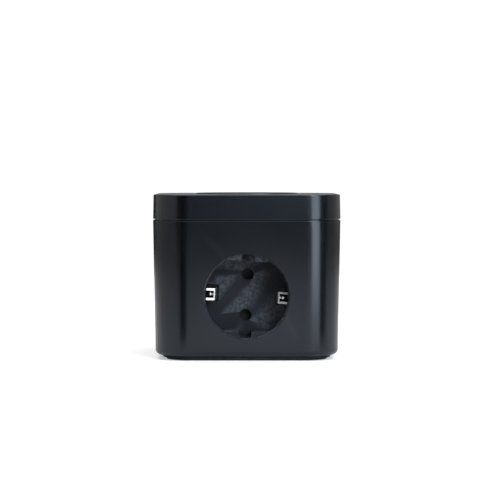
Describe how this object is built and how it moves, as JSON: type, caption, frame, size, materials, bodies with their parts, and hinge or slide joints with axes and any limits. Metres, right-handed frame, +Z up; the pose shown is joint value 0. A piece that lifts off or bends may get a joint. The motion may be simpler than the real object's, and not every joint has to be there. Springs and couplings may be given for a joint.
{
  "type": "table-top smart power outlet",
  "caption": "Soft-cornered table-top smart outlet with an earthed round socket in the front, a round power button in the top and its mains electronics inside.",
  "frame": {"origin": "centre of the underside, on the surface the rubber pad stands on", "axes": "+Z up, the outlet faces -Y, and the cord entry faces +Y"},
  "size_m": [0.087, 0.087, 0.0765],
  "materials": {
    "case_plastic": "satin charcoal, fine grained mould texture",
    "button_plastic": "satin charcoal",
    "insert_plastic": "black, slightly glossier than the case",
    "carrier_plastic": "dark grey engineering plastic",
    "light_guide": "smoked clear",
    "pad_rubber": "matte",
    "nickel_clip": "nickel plated, fine drawn grain",
    "screw_steel": "zinc plated",
    "spring_steel": "drawn wire",
    "contact_brass": "stamped strip",
    "board_laminate": "green solder mask over glass fibre",
    "switch_plastic": "black",
    "plunger_plastic": "tan",
    "led_resin": "pale yellow resin",
    "relay_case": "blue",
    "ferrite": "grey-black ferrite",
    "capacitor_sleeve": "shrunk sleeve",
    "film_case": "yellow box",
    "varistor_coat": "blue dipped coat",
    "fuse_ceramic": "off-white",
    "chip_epoxy": "black moulded epoxy",
    "radio_board": "blue solder mask",
    "shield_tin": "tin plated can",
    "terminal_green": "green",
    "connector_nylon": "natural nylon",
    "cable_jacket": "grey ribbon"
  },
  "bodies": {
    "housing": {"body_shell": "case_plastic", "top_cap": "case_plastic", "light_ring": "light_guide", "button_spring": "spring_steel", "ui_board": "board_laminate", "ui_board_screws": "screw_steel", "tact_switch": "switch_plastic", "status_leds": "led_resin", "housing_screws": "screw_steel", "base_tray": "insert_plastic", "base_pad": "pad_rubber", "socket_insert": "insert_plastic", "socket_screws": "screw_steel", "contact_carrier": "carrier_plastic", "carrier_screws": "screw_steel", "line_contact": "contact_brass", "neutral_contact": "contact_brass", "earth_strap": "nickel_clip", "main_board": "board_laminate", "relay": "relay_case", "transformer": "ferrite", "bulk_capacitors": "capacitor_sleeve", "film_capacitor": "film_case", "varistor": "varistor_coat", "fuse": "fuse_ceramic", "bridge_rectifier": "chip_epoxy", "choke": "ferrite", "wifi_module": "radio_board", "wifi_shield": "shield_tin", "metering_chip": "chip_epoxy", "terminal_block": "terminal_green", "terminal_screws": "screw_steel", "board_connectors": "connector_nylon", "board_cable": "cable_jacket", "cord_plate": "case_plastic", "cord_gland": "insert_plastic", "gland_nut": "carrier_plastic", "cord_clamp": "carrier_plastic", "clamp_screws": "screw_steel"},
    "button": {"power_button": "button_plastic"},
    "plunger": {"switch_plunger": "plunger_plastic"},
    "clip_left": {"earth_clip_left": "nickel_clip"},
    "clip_right": {"earth_clip_right": "nickel_clip"},
    "shutter": {"shutter": "carrier_plastic", "shutter_spring": "spring_steel"}
  },
  "joints": [
    {"name": "button_press", "type": "slide", "parent": "housing", "child": "button", "axis": [0, 0, -1], "range_m": [0, 0.0006], "stiffness_N_per_m": 1500, "springref_m": -0.0006, "deforming": ["button_spring"]},
    {"name": "plunger_press", "type": "slide", "parent": "housing", "child": "plunger", "axis": [0, 0, -1], "range_m": [0, 0.0006]},
    {"name": "earth_clip_left_flex", "type": "hinge", "parent": "housing", "child": "clip_left", "pos_m": [-0.01925, -0.02168, 0.03051], "axis": [-0.0523, 0, -0.9986], "range_deg": [0, 8], "stiffness_Nm_per_rad": 0.1, "springref_deg": -2.86},
    {"name": "earth_clip_right_flex", "type": "hinge", "parent": "housing", "child": "clip_right", "pos_m": [0.01925, -0.02168, 0.02849], "axis": [0.0523, 0, 0.9986], "range_deg": [0, 8], "stiffness_Nm_per_rad": 0.1, "springref_deg": -2.86},
    {"name": "shutter_turn", "type": "hinge", "parent": "housing", "child": "shutter", "pos_m": [0, -0.0211, 0.0295], "axis": [0, -1, 0], "range_deg": [0, 40], "stiffness_Nm_per_rad": 0.005, "springref_deg": -11.46}
  ],
  "couplings": [
    {"joint": "plunger_press", "follows": "button_press", "ratio": 1}
  ]
}
